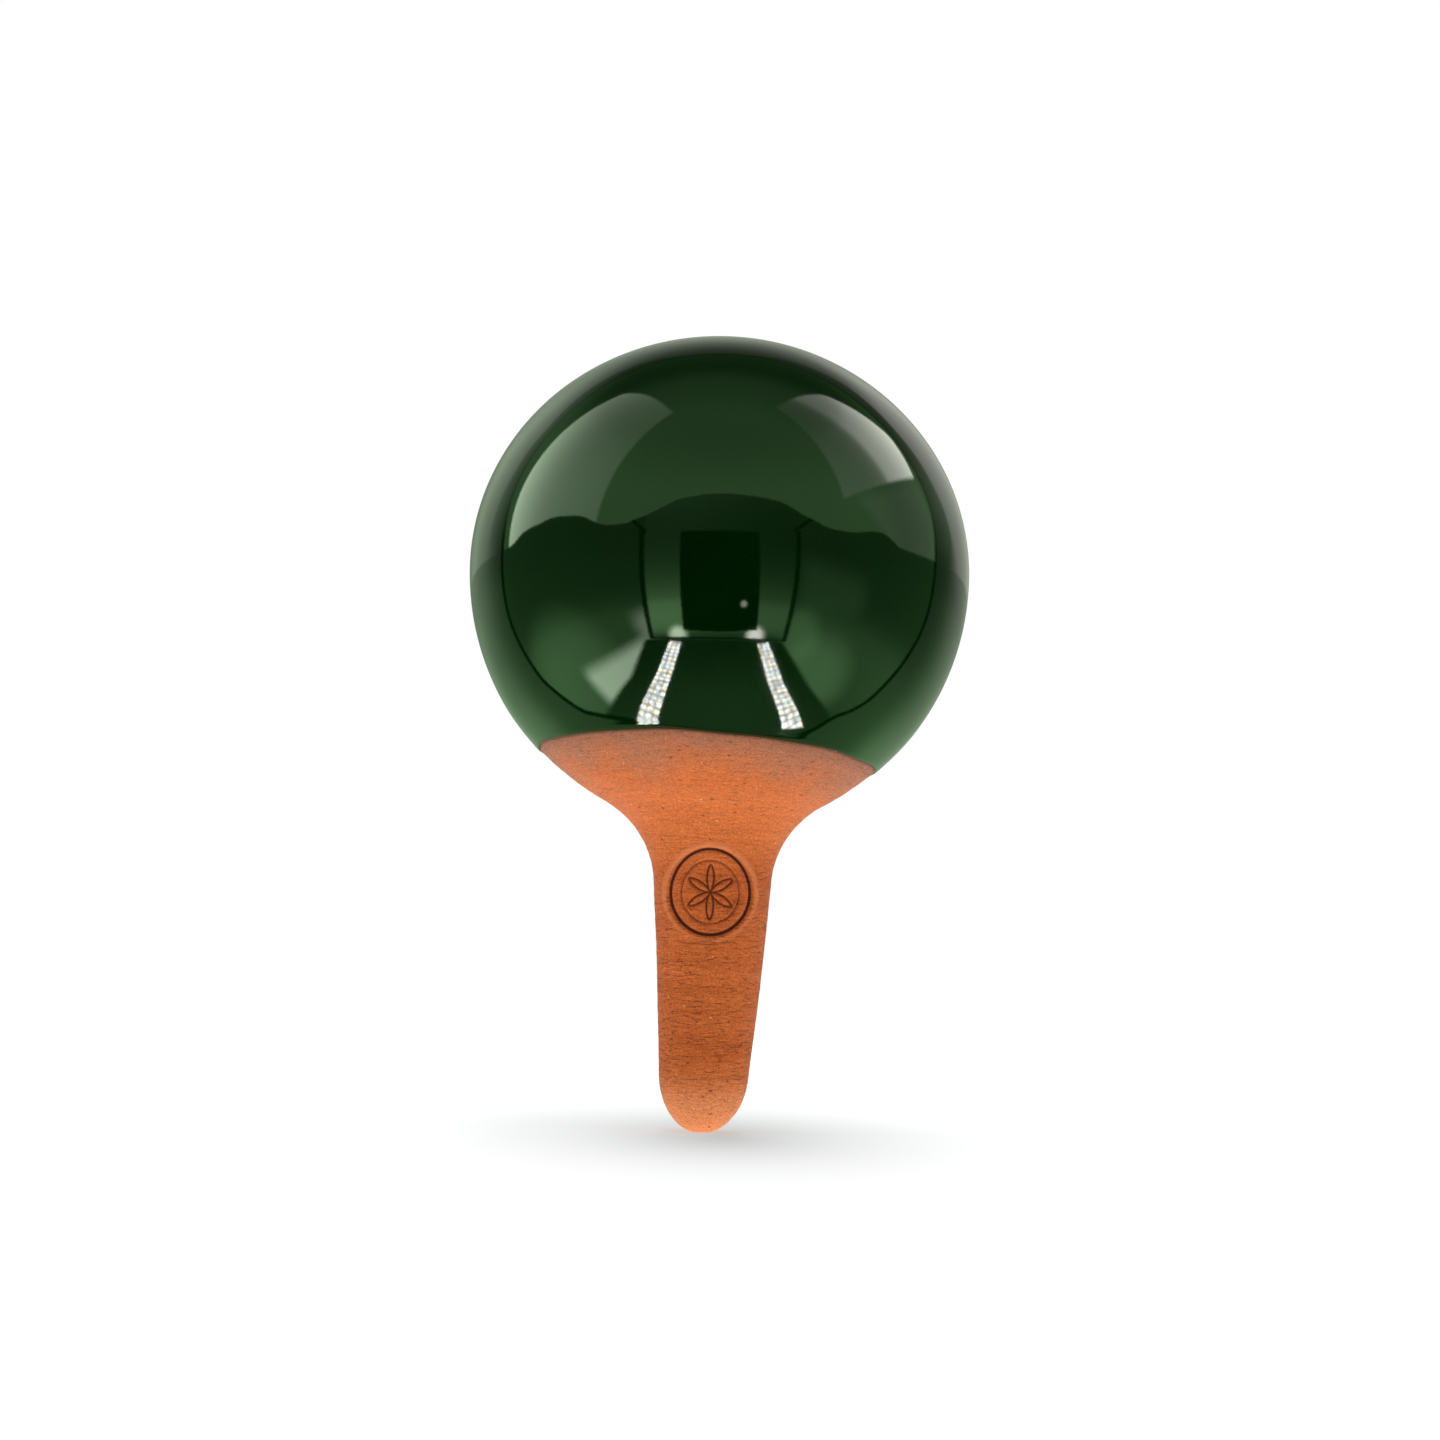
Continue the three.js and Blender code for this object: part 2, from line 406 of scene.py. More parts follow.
def build_clay(surface):
    """The body, with turning marks and the pressed mark on its bare outside."""
    path = resample(clay_path(), clay_spacing)
    normals = normals_of(path)
    path, normals = path[1:-1], normals[1:-1]
    angles = clay_columns()
    radius = path[:, :1]
    x, y = radius * np.cos(angles), radius * np.sin(angles)
    z = np.broadcast_to(path[:, 1:], x.shape)
    outside = (np.arange(len(path)) <= np.argmax(path[:, 1]))[:, None]
    from_glaze = z - glaze_edge(angles)
    bare = outside * (1 - smooth(from_glaze, *HAND_FADE_TO_GLAZE))
    bare = bare * smooth(z, TIP_HEIGHT, TIP_HEIGHT + HAND_FADE_TO_TIP)
    uneven = sum(height * wobble(x, y, z, scale, seed) for height, scale, seed in HAND_MARKS)

    # The mark is pressed straight in from the front
    pressed, mark_shade_and_highlight = mark_depth(x - MARK_OFFSET, z - MARK_HEIGHT)
    facing = outside * smooth(-np.sin(angles), *MARK_FACING)
    offset = bare * (uneven - HAND_SINK - facing * pressed)
    points = spun(path[:, None], normals[:, None], offset, angles)
    points[..., 0] += bend(z)
    tip, floor = [(float(bend(level)), 0, level) for level in (TIP_HEIGHT, TIP_HEIGHT + TIP_THICKNESS)]
    piece = mesh_object(
        "clay_olla", capped(points, tip, floor), capped_faces(*points.shape[:2]),
        "olla", "clay_body", surface)
    # Painted shade in the mark's grooves and a painted highlight on its raised lip, for the clay's colour
    set_attribute(piece, "groove", capped(mark_shade_and_highlight * facing * bare, 0, 0))

    # How far the clay lies inside the glaze's edges
    edge = np.where(z > EQUATOR, RIM_FADE * (radius - GLAZE_TOP_RADIUS), from_glaze)
    edge = np.where(outside | (z > RIM_HEIGHT - MOUTH_CHAMFER), edge, NO_GLAZE)
    set_attribute(piece, "from_edge", capped(edge, NO_GLAZE, NO_GLAZE))


def build_glaze(surface):
    """The coat, up its outside and down its inside, with rows that crowd together at both edges."""
    skin = shoulder_and_globe(0, GLAZE_TOP_RADIUS)
    skin = resample(skin[skin[:, 1] > GLAZE_FROM], even(GLAZE_STEP))
    normals = normals_of(skin)
    length = np.linspace(0, GLAZE_STEP * (len(skin) - 1), len(skin))
    angles = np.linspace(0, 2 * math.pi, GLAZE_COLUMNS, endpoint=False)
    start = np.interp(glaze_edge(angles), skin[:, 1], length)
    full = length[-1] - start
    up = np.concatenate((
        np.linspace(0, GLAZE_LOW_SHARE, GLAZE_LOW_ROWS)[:-1],
        np.linspace(GLAZE_LOW_SHARE, GLAZE_TOP_SHARE, GLAZE_ROWS)[:-1],
        np.linspace(GLAZE_TOP_SHARE, 1, GLAZE_TOP_ROWS),
    ))
    down = np.linspace(1, 0, GLAZE_INNER_ROWS)[1:-1]
    share = np.concatenate((up, down))[:, None]
    from_edge = share * full
    nearest = np.minimum(from_edge, full - from_edge)

    def along_skin(values):
        return np.stack([np.interp(start + from_edge, length, values[:, axis]) for axis in (0, 1)], axis=-1)

    base, normal = along_skin(skin), along_skin(normals)
    x, y, z = base[..., 0] * np.cos(angles), base[..., 0] * np.sin(angles), base[..., 1]
    rounding = np.sqrt(1 - (1 - np.clip(nearest / GLAZE_ROUND, 0, 1)) ** 2)
    thinning = rounding * (GLAZE_THIN_SHARE + (1 - GLAZE_THIN_SHARE) * smooth(from_edge, *GLAZE_THIN))
    bead = BEAD_HEIGHT * bell(from_edge - BEAD_AT, BEAD_WIDTH)
    ripple = RIPPLE_HEIGHT * wobble(x, y, z, RIPPLE_SCALE, RIPPLE_SEED) - RIPPLE_HEIGHT
    outer = (np.arange(len(share)) < len(up))[:, None]
    offset = GLAZE_GAP + outer * thinning * (GLAZE_THICKNESS + bead + ripple)
    points = spun(base, normal, offset, angles)
    piece = mesh_object(
        "green_glaze_coat", points.reshape(-1, 3), grid_faces(len(share), GLAZE_COLUMNS, wrap=True),
        "olla", "glaze_coat", surface)
    set_attribute(piece, "from_edge", nearest)


def build_cork(surface):
    """The stopper, with open pores."""
    top = RIM_HEIGHT - CORK_SINK
    bottom = top - CORK_LENGTH

    def side(height):
        return seat_radius(height) - CORK_CLEARANCE

    path = resample(np.array((
        (0, bottom),
        (side(bottom) - CORK_CHAMFER, bottom),
        (side(bottom + CORK_CHAMFER), bottom + CORK_CHAMFER),
        (side(top - CORK_CHAMFER), top - CORK_CHAMFER),
        (side(top) - CORK_CHAMFER, top),
        (0, top),
    )), even(CORK_SPACING))
    normals = normals_of(path)[1:-1]
    path = path[1:-1]
    angles = np.linspace(0, 2 * math.pi, CORK_COLUMNS, endpoint=False)
    x, y = path[:, :1] * np.cos(angles), path[:, :1] * np.sin(angles)
    z = np.broadcast_to(path[:, 1:], x.shape)
    pores = smooth(wobble(x, y, z, PORE_SCALE, PORE_SEED), *PORE_EDGE)
    grain = 0.5 + 0.5 * wobble(x, y, z, GRAIN_SCALE, GRAIN_SEED)
    points = spun(path[:, None], normals[:, None], -PORE_DEPTH * pores - GRAIN_DEPTH * grain, angles)
    below, above = (0, 0, bottom + CORK_POLE_SINK), (0, 0, top - CORK_POLE_SINK)
    piece = mesh_object(
        "cork", capped(points, below, above), capped_faces(*points.shape[:2]),
        "stopper", "cork_stopper", surface)
    set_attribute(piece, "pore", capped(pores, 0, 0))


class Tree:
    """Node tree of a material or world, with short ways to add nodes from values and outputs."""

    def __init__(self, owner):
        owner.use_nodes = True
        self.tree = owner.node_tree
        self.tree.nodes.clear()

    def add(self, kind, inputs, **settings):
        made = self.tree.nodes.new("ShaderNode" + kind)
        for key, value in settings.items():
            setattr(made, key, value)
        for key, value in inputs.items():
            if isinstance(value, bpy.types.NodeSocket):
                self.tree.links.new(value, made.inputs[key])
            else:
                made.inputs[key].default_value = value
        return made

    def math(self, operation, *values):
        return self.add("Math", dict(enumerate(values)), operation=operation).outputs[0]

    def times(self, value, *factors):
        for factor in factors:
            value = self.math("MULTIPLY", value, factor)
        return value

    def plus(self, value, *others):
        for other in others:
            value = self.math("ADD", value, other)
        return value

    def minus(self, value, other):
        return self.math("SUBTRACT", value, other)

    def larger(self, value, *others):
        for other in others:
            value = self.math("MAXIMUM", value, other)
        return value

    def outside(self, mask):
        return self.minus(1.0, mask)

    def vector(self, operation, *values):
        return self.add("VectorMath", dict(enumerate(values)), operation=operation).outputs[0]

    def scaled(self, vector, factor):
        return self.add("VectorMath", {0: vector, "Scale": factor}, operation="SCALE").outputs[0]

    def length(self, vector):
        return self.add("VectorMath", {0: vector}, operation="LENGTH").outputs["Value"]

    def dot(self, vector, direction):
        made = self.add("VectorMath", {0: vector, 1: tuple(direction)}, operation="DOT_PRODUCT")
        return made.outputs["Value"]

    def step(self, value, low, high, to_low=0.0, to_high=1.0, kind="SMOOTHSTEP"):
        inputs = {"Value": value, "From Min": low, "From Max": high, "To Min": to_low, "To Max": to_high}
        return self.add("MapRange", inputs, interpolation_type=kind).outputs["Result"]

    def ramp(self, value, low, high, to_low=0.0, to_high=1.0):
        return self.step(value, low, high, to_low, to_high, "LINEAR")

    def drop(self, value, low, high):
        return self.step(value, low, high, 1.0, 0.0)

    def curve(self, value, points):
        """Smooth curve through points, flat beyond the first and the last."""
        first, last = points[0][0], points[-1][0]
        top = max(level for _, level in points)
        made = self.add("FloatCurve", {"Value": self.ramp(value, first, last)})
        knots = made.mapping.curves[0].points
        for index, (at, level) in enumerate(points):
            knot = knots[index] if index < 2 else knots.new(0.5, 0.5)
            knot.location = ((at - first) / (last - first), level / top)
        made.mapping.update()
        return self.times(made.outputs[0], top)

    def mix(self, factor, first, second):
        return self.add("Mix", {0: factor, 6: first, 7: second}, data_type="RGBA").outputs[2]

    def blend(self, factor, first, second):
        return self.add("Mix", {0: factor, 2: first, 3: second}, data_type="FLOAT").outputs[0]

    def layer(self, tone, value, low, high, share, tint):
        """A tone with a tint laid over it, up to a share, as a value goes from low to high."""
        return self.mix(self.step(value, low, high, 0.0, share), tone, tint)

    def noise(self, vector, scale, detail=3.0, roughness=0.5):
        inputs = {"Vector": vector, "Scale": scale, "Detail": detail, "Roughness": roughness}
        return self.add("TexNoise", inputs).outputs[0]

    def streaks(self, vector, stretch, detail, roughness=0.5):
        """Noise with a scale for each axis."""
        return self.noise(self.vector("MULTIPLY", vector, stretch), 1.0, detail, roughness)

    def dots(self, vector, scale, chance, cores, edge, strength):
        """Soft dots in some of many cells, by the luck that they need and the range of their cores."""
        cells = self.add("TexVoronoi", {"Vector": vector, "Scale": scale})
        luck = self.add("SeparateColor", {0: cells.outputs["Color"]}).outputs
        core = self.ramp(luck[1], 0.0, 1.0, *cores)
        dot = self.step(cells.outputs["Distance"], core, edge, strength, 0.0)
        return self.times(self.step(luck[0], *chance), dot)

    def place(self):
        """The piece's own coordinates, in millimetres."""
        return self.scaled(self.add("TexCoord", {}).outputs["Object"], 1 / MM)

    def attribute(self, name):
        return self.add("Attribute", {}, attribute_name=name).outputs["Fac"]

    def bump(self, height, distance, strength=1.0, under=None):
        inputs = {"Height": height, "Distance": distance * MM, "Strength": strength}
        if under is not None:
            inputs["Normal"] = under
        return self.add("Bump", inputs).outputs[0]

    def finish(self, inputs):
        shader = self.add("BsdfPrincipled", inputs)
        self.add("OutputMaterial", {"Surface": shader.outputs[0]})


def colour(red, green, blue):
    return (red, green, blue, 1.0)


# Values of noise between which a layer sets in
MID_NOISE = (0.3, 0.7)

# Layers of clay colour: start and end along what each follows, the share it reaches, and its tint
CLAY = colour(0.55, 0.122, 0.026)
CLAY_BANDS = (*MID_NOISE, 1.0, colour(0.66, 0.158, 0.038))
CLAY_CLOUDS = (0.4, 0.7, 0.35, colour(0.70, 0.182, 0.048))
CLAY_RINGS = (0.52, 0.68, 0.3, colour(0.50, 0.112, 0.030))
CLAY_BLOOM = (-10.0, -0.2, 0.85, colour(0.38, 0.156, 0.086))
# Painted shade in a band on the clay just under the glaze's edge
CLAY_SHADE_UNDER_GLAZE = (-2.4, 0.0, 0.45, colour(0.20, 0.083, 0.048))
CLAY_EDGE = (-0.5, 0.0, 0.8, colour(0.10, 0.035, 0.018))
# Painted light: the tip paler, as light from below makes it
CLAY_TIP_LIGHT = (-61.0, -70.5, 0.9, colour(0.86, 0.295, 0.114))
# Painted shade in the mark's grooves, and a painted highlight on its raised lip
CLAY_GROOVE_SHADE = (0.2, 0.75, 0.97, colour(0.07, 0.014, 0.006))
CLAY_RAISED_HIGHLIGHT = (-0.1, -0.6, 0.5, colour(0.86, 0.280, 0.105))
BLOOM_WANDER = 1.8

# Painted light: a paler shoulder, as light from below makes it, by height on the clay
LIT_SHOULDER_TINT = colour(0.78, 0.205, 0.054)
SHOULDER_SHARE = 0.5
SHOULDER_FROM = (-25.0, -17.0)
SHOULDER_TO = (-12.0, -3.0, 1.0, 0.4)

# Grain and turning of the clay: noise by scale or stretch, detail and roughness; lines by density and seed
CLAY_BAND_NOISE = ((0.03, 0.03, 0.4), 3.0)
CLAY_RING_NOISE = ((0.04, 0.04, 1.0), 2.0)
CLAY_CLOUD_NOISE = (0.09, 3.0)
CLAY_GRAIN_NOISE = (2.6, 5.0, 0.7)
SCRATCH_NOISE = ((0.44, 0.44, 3.4), 4.0, 0.65)
DRAG_WANDER_NOISE = ((0.16, 0.16, 0.5), 2.0)
DRAG_LENGTH_NOISE = ((0.22, 0.22, 1.3), 2.0)
DRAG_LINES = ((0.62, 0.0), (1.15, 40.0))
DRAG_WANDER = 3.0
DRAG_WIDTH = (0.02, 0.10)
DRAG_BREAK = (0.5, 0.6)
DRAG_SHADE = 0.28
SCRATCH_SHADE = 1.2
GRAIN_SHADE = (1.95, 0.05)
ROUGH_TO_SHOULDER = (-32.0, -18.0, 1.0, 0.5)
ROUGH_TO_TIP = (-63.0, -70.0, 1.0, 0.4)

# Open pits and sand grains: scale, luck needed, range of cores, soft edge and strength. The pits are painted
# darker, as shade falls in them
PIT_STRETCH = (0.8, 0.8, 1.2)
PITS = (0.8, (0.82, 0.88), (0.04, 0.2), 0.27, 1.0)
PIT_SHARE = 0.6
PIT_SHADE_TINT = colour(0.17, 0.040, 0.016)
SPECKS = (0.95, (0.92, 0.96), (0.02, 0.16), 0.22, 0.85)
SPECK_TINT = colour(0.92, 0.50, 0.24)


def drag_lines(tree, place, z, density, seed):
    """Thin level lines, so many to a millimetre, that wander a little and break off."""
    moved = tree.vector("ADD", place, (seed, seed, 0.0))
    wander = tree.times(tree.streaks(moved, *DRAG_WANDER_NOISE), DRAG_WANDER)
    level = tree.plus(tree.times(z, density), wander)
    line = tree.drop(tree.math("PINGPONG", level, 0.5), *DRAG_WIDTH)
    return tree.times(line, tree.step(tree.streaks(moved, *DRAG_LENGTH_NOISE), *DRAG_BREAK))


def clay_tone(tree, place, z):
    """Fired colour: bands and clouds, grey bloom and dark line at the glaze, painted shade in a band under
    the glaze's edge, and painted light that makes the shoulder and tip paler.
    """
    clouds = tree.noise(place, *CLAY_CLOUD_NOISE)
    tone = tree.layer(CLAY, tree.streaks(place, *CLAY_BAND_NOISE), *CLAY_BANDS)
    tone = tree.layer(tone, clouds, *CLAY_CLOUDS)
    # Painted light: the shoulder paler, as light from below makes it
    shoulder = tree.times(tree.step(z, *SHOULDER_FROM), tree.step(z, *SHOULDER_TO), SHOULDER_SHARE)
    tone = tree.mix(shoulder, tone, LIT_SHOULDER_TINT)
    tone = tree.layer(tone, tree.streaks(place, *CLAY_RING_NOISE), *CLAY_RINGS)
    edge = tree.attribute("from_edge")
    height = tree.plus(edge, tree.step(clouds, *MID_NOISE, -BLOOM_WANDER, BLOOM_WANDER))
    tone = tree.layer(tone, height, *CLAY_BLOOM)
    # Painted shade in a band under the glaze's edge
    tone = tree.layer(tone, edge, *CLAY_SHADE_UNDER_GLAZE)
    tone = tree.layer(tone, edge, *CLAY_EDGE)
    # Painted light: the tip paler, as light from below makes it
    return tree.layer(tone, z, *CLAY_TIP_LIGHT)


def terracotta():
    """Bare clay: grain, scratches and lines from turning, pits, sand and the pressed mark, with painted shade
    in the pits, the drawn lines and the mark's sunken lines, and a painted highlight on its raised lip.
    """
    material = bpy.data.materials.new("terracotta")
    tree = Tree(material)
    place = tree.place()
    z = tree.dot(place, (0, 0, 1))
    grain = tree.noise(place, *CLAY_GRAIN_NOISE)
    scratches = tree.streaks(place, *SCRATCH_NOISE)
    rough = tree.times(tree.step(z, *ROUGH_TO_SHOULDER), tree.step(z, *ROUGH_TO_TIP))
    drawn = tree.larger(*[drag_lines(tree, place, z, *lines) for lines in DRAG_LINES])
    drawn = tree.times(drawn, rough)
    scratched = tree.times(tree.minus(0.5, scratches), tree.times(rough, SCRATCH_SHADE))
    shade = tree.plus(scratched, tree.ramp(grain, 0.0, 1.0, *GRAIN_SHADE))
    # Painted shade: the drawn lines, which the bump below sinks, are darker
    shade = tree.minus(shade, tree.times(drawn, DRAG_SHADE))
    pit = tree.dots(tree.vector("MULTIPLY", place, PIT_STRETCH), *PITS)
    # Painted shade in the mark's grooves and a painted highlight on its raised lip
    groove = tree.attribute("groove")

    tone = tree.scaled(clay_tone(tree, place, z), shade)
    tone = tree.mix(tree.dots(place, *SPECKS), tone, SPECK_TINT)
    # Painted shade in the open pits
    tone = tree.mix(tree.times(pit, PIT_SHARE), tone, PIT_SHADE_TINT)
    tone = tree.layer(tone, groove, *CLAY_GROOVE_SHADE)
    tone = tree.layer(tone, groove, *CLAY_RAISED_HIGHLIGHT)
    relief = tree.bump(tree.outside(tree.larger(pit, drawn)), distance=0.12)
    relief = tree.bump(scratches, distance=0.15, strength=0.9, under=relief)
    relief = tree.bump(grain, distance=0.12, strength=0.8, under=relief)
    tree.finish({
        "Base Color": tone, "Roughness": tree.step(grain, *MID_NOISE, 0.82, 0.95), "Specular IOR Level": 0.12,
        "Sheen Weight": 0.15, "Sheen Roughness": 0.4, "Normal": relief})
    return material


# Layers of glaze colour, as for the clay, and the gloss at and away from its edges
GLAZE = colour(0.0003, 0.0085, 0.0005)
GLAZE_CLOUDS = (*MID_NOISE, 1.0, colour(0.0007, 0.0115, 0.0009))
GLAZE_BUBBLES = (0.6, 0.8, 0.5, colour(0.0020, 0.0180, 0.0022))
GLAZE_EDGE_TINT = colour(0.034, 0.020, 0.007)
GLAZE_EDGE = (0.1, 1.0, 0.9, 0.0)
GLAZE_EDGE_WANDER = 0.2
GLAZE_GLOSS = (0.1, 0.8, 0.1, 0.5)
GLAZE_CLOUD_NOISE = (0.045, 4.0, 0.6)
GLAZE_BUBBLE_NOISE = (1.6, 2.0)


def green_glaze():
    """Dark glossy glaze, so thin along both edges that the clay's brown shows through."""
    material = bpy.data.materials.new("green_glaze")
    tree = Tree(material)
    place = tree.place()
    clouds = tree.noise(place, *GLAZE_CLOUD_NOISE)
    bubbles = tree.noise(place, *GLAZE_BUBBLE_NOISE)
    tone = tree.layer(GLAZE, clouds, *GLAZE_CLOUDS)
    tone = tree.layer(tone, bubbles, *GLAZE_BUBBLES)
    wander = tree.step(clouds, *MID_NOISE, -GLAZE_EDGE_WANDER, GLAZE_EDGE_WANDER)
    edge = tree.plus(tree.attribute("from_edge"), wander)
    tone = tree.mix(tree.step(edge, *GLAZE_EDGE), tone, GLAZE_EDGE_TINT)
    tree.finish({
        "Base Color": tone, "Roughness": tree.step(clouds, *MID_NOISE, 0.035, 0.055), "IOR": 1.5,
        "Specular IOR Level": tree.step(edge, *GLAZE_GLOSS),
        "Normal": tree.bump(bubbles, distance=0.004, strength=0.5)})
    return material


# Layers of cork colour, as for the clay, and flecks of bark
CORK = colour(0.44, 0.225, 0.090)
CORK_LAYERS = (*MID_NOISE, 1.0, colour(0.62, 0.370, 0.165))
CORK_GRAIN = (0.5, 0.66, 0.6, colour(0.27, 0.125, 0.045))
CORK_PORES = (0.2, 0.9, 0.85, colour(0.075, 0.033, 0.014))
CORK_LAYER_NOISE = ((0.9, 0.25, 0.9), 5.0, 0.65)
CORK_GRAIN_NOISE = (2.6, 4.0, 0.7)
FLECK_STRETCH = (1.5, 0.8, 1.5)
FLECKS = (1.0, (0.72, 0.82), (0.12, 0.12), 0.42, 0.75)
FLECK_TINT = colour(0.14, 0.060, 0.024)


def cork():
    """Layered cork with dark flecks of bark between its open pores."""
    material = bpy.data.materials.new("cork")
    tree = Tree(material)
    place = tree.place()
    layers = tree.streaks(place, *CORK_LAYER_NOISE)
    grain = tree.noise(place, *CORK_GRAIN_NOISE)
    flecks = tree.dots(tree.vector("MULTIPLY", place, FLECK_STRETCH), *FLECKS)
    tone = tree.layer(CORK, layers, *CORK_LAYERS)
    tone = tree.layer(tone, grain, *CORK_GRAIN)
    tone = tree.mix(flecks, tone, FLECK_TINT)
    tone = tree.layer(tone, tree.attribute("pore"), *CORK_PORES)
    relief = tree.bump(grain, distance=0.1, strength=0.8)
    relief = tree.bump(layers, distance=0.12, strength=0.7, under=relief)
    tree.finish({
        "Base Color": tone, "Roughness": tree.step(layers, *MID_NOISE, 0.75, 0.92), "Specular IOR Level": 0.3,
        "Normal": relief})
    return material


# Stage: floor, lamps and camera. The floor is white to the camera by distance from the shadow's middle, with
# a painted shadow there and a painted contact shadow at the tip
WHITE = colour(1, 1, 1)
FLOOR_REACH = 8.0
FLOOR_COLOUR = colour(0.55, 0.575, 0.58)
# Floor colour painted cooler near the tip, against the warm light that the clay throws on it, and the reach
# of that in millimetres
BOUNCE_CANCEL_COLOUR = colour(0.41, 0.56, 0.60)
BOUNCE_CANCEL_REACH = (2.0, 90.0)
# The camera's white by distance from the shadow's middle; its low values near the middle are a painted shadow
FLOOR_WHITE_AND_PAINTED_SHADOW = (
    (0, 0.40), (9, 0.50), (18, 0.597), (27, 0.67), (36, 0.712), (48, 0.745), (80, 0.82), (200, 1.0))
FROM_SHADOW = (-3, 12, 0)
SHADOW_SQUASH = (1.0, 0.36, 0.0)
# Painted contact shadow round the tip: from and to in millimetres, and the share of the camera's white there
# and beyond
TIP_SHADE = (2.0, 11.0, 0.85, 1.0)
# Glow of the floor to all rays but the camera's: it lights the olla from below though the floor is no lamp
FLOOR_GLOW_LIGHT = 0.92
AMBIENT = 0.1
BACKDROP = 1.0

# Lamps: name, place, what they are aimed at, width, length and radiance
LAMPS = (
    ("top_softbox", (0, 60, 640), (0, 0, 0), 260, 1300, 3.0),
    ("left_softbox", (-620, -150, 120), (0, 0, -10), 420, 520, 0.95),
    ("right_softbox", (620, -150, 120), (0, 0, -10), 420, 520, 0.95))

CAMERA_PLACE = (1.017, -473.4, -43.2)
CAMERA_PITCH = math.radians(6.027)
CAMERA_ROLL = math.radians(1.775)
CAMERA_LENS = 59.58
CAMERA_SENSOR = 36.0
CAMERA_NEAR = 0.01

# What the glaze mirrors: a light tent by direction, with x to the right, y to the back and z up.
# Edge of its upper sheet by azimuth
SHEET_EDGE = (
    (-180, 0.14), (-112, 0.15), (-101, 0.21), (-92, 0.25), (-71, 0.30), (-50, 0.225), (-38, 0.27),
    (-26, 0.37), (-14, 0.45), (2, 0.48), (13, 0.47), (25, 0.44), (42, 0.31), (59, 0.24), (75, 0.26),
    (89, 0.18), (108, 0.16), (180, 0.14))
SHEET_SOFT = 0.006

# Back seam and the edge of the back wall's pale part, by height
BACK_SEAM = (
    (-1, -0.175), (-0.9, -0.035), (-0.82, 0.058), (-0.75, 0.116), (-0.67, 0.19), (-0.57, 0.24),
    (-0.25, 0.36), (-0.12, 0.395), (0.05, 0.411), (0.2, 0.422), (0.35, 0.445), (0.7, 0.472), (0.8, 0.515),
    (0.87, 0.545), (1, 0.57))
SEAM_INNER = 0.010
SEAM_OUTER = 0.026
SEAM_SOFT = 0.004
SEAM_STRENGTH = (0.15, 0.4, 1.0, 0.3)
SEAM_TILT_LOW = (-0.95, -0.7, -0.16, 0.045)
SEAM_TILT_HIGH = (-0.45, 0.35, 0.0, 0.045)
PALE_EDGE = ((0, 132), (0.3, 132.5), (0.5, 132), (0.65, 138), (0.73, 152), (0.85, 172))
PALE_EDGE_SHIFT = 2.0
PALE_EDGE_WIDTH = (0.05, 0.3, 14.0, 1.7)

# Levels of light by height or depth, as curves or as ramps: from, to, and the levels there
SHEET_BY_HEIGHT = (0.45, 0.95, 1.05, 0.62)
SHEET_BY_DEPTH = (-0.35, 0.1, 1.0, 0.5)
FAR_BY_DEPTH = (-0.05, 0.42)
FAR_BY_HEIGHT = (0.6, 0.9)
FAR_LEVEL = 0.25
WALL_LEVEL = (
    (-0.8, 0.45), (-0.68, 0.7), (-0.5, 0.78), (-0.39, 0.7), (-0.31, 0.45), (-0.2, 0.26), (0, 0.2),
    (0.1, 0.17))
FRONT_LEVEL = (
    (-0.6, 0.3), (-0.55, 0.6), (-0.52, 1.4), (-0.43, 2.1), (-0.28, 1.05), (-0.1, 0.43), (0.07, 0.23),
    (0.26, 0.22), (0.5, 0.34))
FRONT_BY_SIDE = (-0.4, 0.4, 1.3, 0.7)
PLATE_LEVEL = (-0.6, -0.95, 0.12, 0.36)
BACK_LEVEL = (
    (-1, 1.1), (-0.6, 1.1), (-0.4, 0.85), (-0.2, 0.62), (0, 0.48), (0.15, 0.3), (0.5, 0.5), (0.69, 0.33),
    (0.85, 0.14), (1, 0.1))
BACK_BY_DEPTH = (0.4, 0.75, 0.55, 1.0)
LEFT_SHADE = (0.25, 0.55, 1.0, 0.65)
RIGHT_SHADE = (
    (-0.4, 1.0), (-0.15, 0.7), (0.1, 0.65), (0.18, 0.8), (0.27, 1.1), (0.5, 0.85), (0.66, 0.6), (0.8, 0.65))
LEFT_BY_DEPTH = ((-0.6, 1.0), (-0.42, 1.1), (-0.05, 1.9), (0.2, 3.3), (0.4, 5.0))
LEFT_BY_HEIGHT = ((0.0, 0.9), (0.35, 1.0), (0.6, 0.82), (0.75, 0.6), (0.85, 0.42), (1, 0.4))
RIGHT_BY_DEPTH = ((-0.6, 0.75), (-0.05, 0.75), (0.02, 1.2), (0.1, 3.1), (0.2, 3.5), (0.45, 5.6))
RIGHT_BY_HEIGHT = ((0.4, 1.0), (0.65, 1.0), (0.8, 0.72), (0.88, 0.38), (1, 0.3))
PALE_LEFT_BY_EDGE = (0.0, 1.0, 0.75, 1.2)
PALE_LEVELS = (0.14, 0.38)

# Patches in the tent: corners as azimuth and elevation in degrees, softness, and level if it isn't 1
FRONT_WALL = (((-34, 30), (34, 30), (34, -38), (-33, -38)), 0.02)
FRONT_SEAM = (((-36, 10), (36, 12), (36.5, -40), (-35.5, -40)), 0.02)
LEFT_BEND = (((-33, 10.3), (-41, 16.5), (-41.6, 15.2), (-33.2, 8.2)), 0.012)
RIGHT_BEND = (((33, 12.8), (42, 18.9), (42.7, 17.7), (33.2, 11)), 0.012)
OPENING = (((-17.5, 9.5), (17, 10), (20, -30.5), (-17.5, -31.5)), 0.015)
RIGHT_GLOW = (((38, 0), (70, -4), (70, -16), (38, -20)), 0.2, 0.3)
PALE_LEFT = (((-157, 0), (-124, 0), (-122, 46), (-158, 41)), 0.34)
PALE_RIGHT = (((126, 4), (166, 4), (168, 35), (126, 46)), 0.2)
